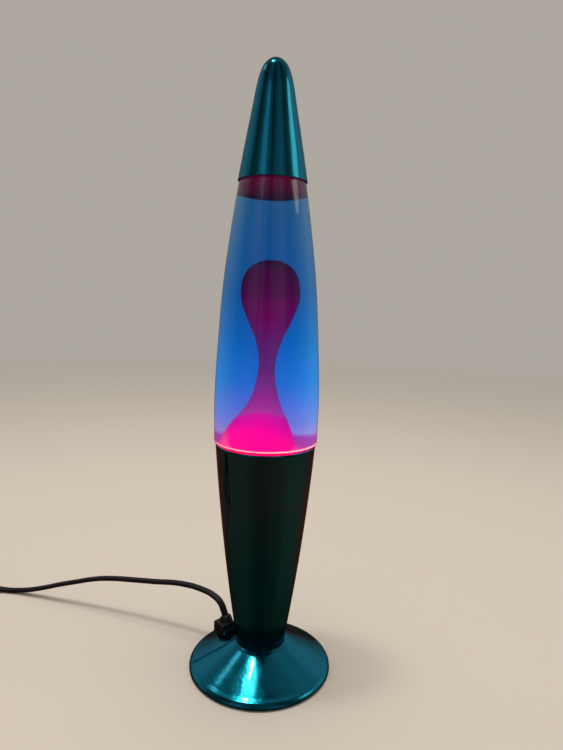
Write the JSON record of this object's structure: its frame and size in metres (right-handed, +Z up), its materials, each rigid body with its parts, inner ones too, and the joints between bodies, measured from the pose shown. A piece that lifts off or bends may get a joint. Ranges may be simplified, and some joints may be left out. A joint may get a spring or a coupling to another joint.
{
  "type": "lava lamp",
  "caption": "Tapered desk lava lamp: spun metal foot and holder, lift-out glass bottle of blue liquid and pink wax, metal cap, reflector bulb, cord with switch and plug.",
  "frame": {"origin": "middle of the foot, at the height of the table it stands on", "axes": "+Z up along the lamp's axis; -Y towards the front; the cord leaves the foot on the -X side, towards the back"},
  "size_m": [0.4598, 0.1475, 0.4073],
  "materials": {
    "teal_lacquer": "clear teal lacquer over bright spun aluminium, mirror gloss",
    "clear_glass": "clear, polished",
    "frosted_glass": "frosted front, mirrored back",
    "blue_liquid": "clear blue liquid",
    "pink_wax": "melted paraffin wax, bright pink",
    "dark_wax": "melted paraffin wax, dark in the lamp's shade",
    "black_plastic": "moulded, fine satin grain",
    "black_vinyl": "soft vinyl sheath, satin",
    "pale_insulator": "moulded heat-proof insulator, satin",
    "black_foam": "fine closed-cell foam",
    "zinc_steel": "zinc-plated",
    "brass": "plain stamped and turned brass",
    "wire_insulation": "thin extruded vinyl",
    "tungsten": "wound wire, dull grey"
  },
  "bodies": {
    "base": {"foot_shell": "teal_lacquer", "foot_pad": "black_foam", "bottom_cover": "black_plastic", "holder_cone": "teal_lacquer", "lower_washer": "zinc_steel", "lower_nut": "zinc_steel", "lock_washer": "zinc_steel", "upper_nut": "zinc_steel", "centre_tube": "zinc_steel", "lampholder_cap": "pale_insulator", "lampholder_body": "pale_insulator", "lampholder_insert": "pale_insulator", "lampholder_screw_shell": "brass", "lampholder_contact": "brass", "terminal_screw_1": "brass", "terminal_screw_2": "brass", "cord_gland": "black_plastic", "gland_screw": "zinc_steel", "gland_lock": "black_plastic", "inner_cord": "black_vinyl", "lead_live": "wire_insulation", "lead_neutral": "wire_insulation", "cord_run": "black_vinyl", "cord_coil": "black_vinyl", "cord_link": "black_vinyl", "cord_tail": "black_vinyl", "cord_tie": "black_plastic", "switch_base": "black_plastic", "switch_cover": "black_plastic", "switch_screw_1": "zinc_steel", "switch_screw_2": "zinc_steel", "switch_contact": "brass", "switch_blade": "brass", "plug_body": "black_plastic", "plug_pin_1": "brass", "plug_pin_2": "brass"},
    "bulb": {"bulb_contact": "zinc_steel", "bulb_insulator": "black_plastic", "bulb_screw_cap": "zinc_steel", "bulb_glass": "frosted_glass", "bulb_stem": "clear_glass", "bulb_lead_1": "zinc_steel", "bulb_lead_2": "zinc_steel", "filament": "tungsten"},
    "bottle": {"glass_bottle": "clear_glass", "crown_seal": "pale_insulator", "crown_cap": "zinc_steel", "wax_column": "pink_wax", "heating_coil": "zinc_steel", "wax_top": "dark_wax", "lamp_liquid": "blue_liquid"},
    "cap": {"top_cap": "teal_lacquer"},
    "rocker": {"switch_rocker": "black_plastic"}
  },
  "joints": [
    {"name": "bottle_lift", "type": "slide", "parent": "base", "child": "bottle", "axis": [0, 0, 1], "range_m": [0, 0.08]},
    {"name": "cap_lift", "type": "slide", "parent": "bottle", "child": "cap", "axis": [0, 0, 1], "range_m": [0, 0.085]},
    {"name": "bulb_unscrew", "type": "slide", "parent": "base", "child": "bulb", "axis": [0, 0, 1], "range_m": [0, 0.0113]},
    {"name": "rocker_press", "type": "hinge", "parent": "base", "child": "rocker", "pos_m": [-0.289, 0.0845, 0.0146], "axis": [0, -1, 0], "range_deg": [0, 16]}
  ]
}
